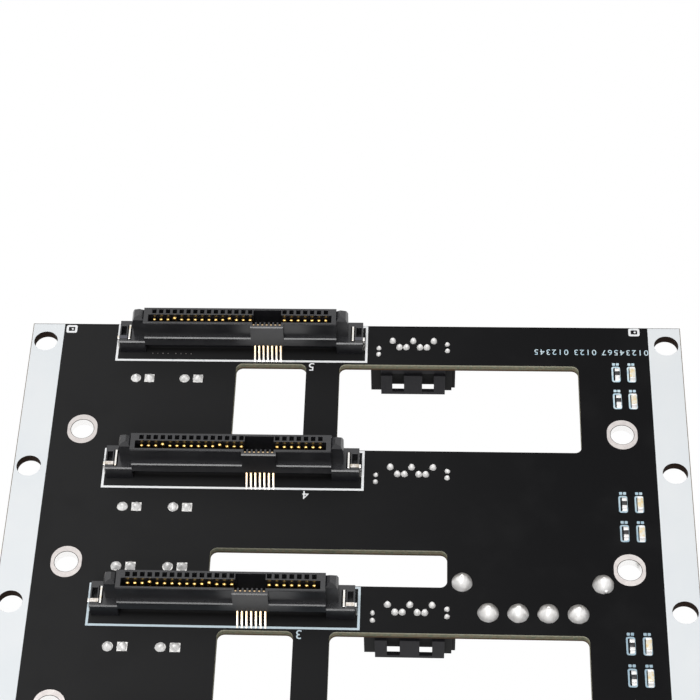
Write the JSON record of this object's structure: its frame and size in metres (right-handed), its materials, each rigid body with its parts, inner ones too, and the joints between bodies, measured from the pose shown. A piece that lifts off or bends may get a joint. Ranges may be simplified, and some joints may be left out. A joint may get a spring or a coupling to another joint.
{
  "type": "drive backplane board",
  "caption": "Printed circuit backplane with a column of hot-swap drive receptacles on its front, cable and power headers on its back, air cut-outs and screw holes.",
  "frame": {"origin": "under the middle of the board, in the plane of the cable headers' mouths on which the part stands", "axes": "+Z out of the drive side, +Y along the board towards bay 5, +X to the right seen from the drive side with bay 5 at the far end"},
  "size_m": [0.121, 0.143, 0.0202],
  "materials": {
    "board_laminate": "glass-epoxy laminate under satin black solder mask, cut edges bare greenish tan",
    "solder": "bright tin solder",
    "capacitor_can": "aluminium can in a dark plastic sleeve, printed with no words",
    "receptacle_plastic": "black glass-filled nylon, moulded",
    "header_plastic": "black moulded nylon",
    "gold_contacts": "gold flashed copper alloy",
    "tinned_contacts": "copper alloy, gold tip and tinned foot",
    "lock_metal": "tinned sheet metal",
    "power_nylon": "natural white nylon",
    "power_pins": "tinned brass pins",
    "lamp_body": "cream resin with a yellow lens",
    "resistor_body": "black glazed ceramic with tinned ends"
  },
  "bodies": {
    "root": {"board": "board_laminate", "solder_joints": "solder", "electrolytic_capacitors": "capacitor_can", "drive_receptacle_5": "receptacle_plastic", "drive_contacts_5": "gold_contacts", "second_port_contacts_5": "tinned_contacts", "receptacle_locks_5": "lock_metal", "cable_header_5": "header_plastic", "cable_contacts_5": "gold_contacts", "cable_header_forks_5": "lock_metal", "status_lamps_5": "lamp_body", "lamp_resistors_5": "resistor_body", "drive_receptacle_4": "receptacle_plastic", "drive_contacts_4": "gold_contacts", "second_port_contacts_4": "tinned_contacts", "receptacle_locks_4": "lock_metal", "cable_header_4": "header_plastic", "cable_contacts_4": "gold_contacts", "cable_header_forks_4": "lock_metal", "status_lamps_4": "lamp_body", "lamp_resistors_4": "resistor_body", "drive_receptacle_3": "receptacle_plastic", "drive_contacts_3": "gold_contacts", "second_port_contacts_3": "tinned_contacts", "receptacle_locks_3": "lock_metal", "cable_header_3": "header_plastic", "cable_contacts_3": "gold_contacts", "cable_header_forks_3": "lock_metal", "status_lamps_3": "lamp_body", "lamp_resistors_3": "resistor_body", "drive_receptacle_2": "receptacle_plastic", "drive_contacts_2": "gold_contacts", "second_port_contacts_2": "tinned_contacts", "receptacle_locks_2": "lock_metal", "cable_header_2": "header_plastic", "cable_contacts_2": "gold_contacts", "cable_header_forks_2": "lock_metal", "status_lamps_2": "lamp_body", "lamp_resistors_2": "resistor_body", "drive_receptacle_1": "receptacle_plastic", "drive_contacts_1": "gold_contacts", "second_port_contacts_1": "tinned_contacts", "receptacle_locks_1": "lock_metal", "cable_header_1": "header_plastic", "cable_contacts_1": "gold_contacts", "cable_header_forks_1": "lock_metal", "status_lamps_1": "lamp_body", "lamp_resistors_1": "resistor_body", "power_header_4": "power_nylon", "power_pins_4": "power_pins", "power_pegs_4": "lock_metal", "power_header_2": "power_nylon", "power_pins_2": "power_pins", "power_pegs_2": "lock_metal"}
  },
  "joints": []
}
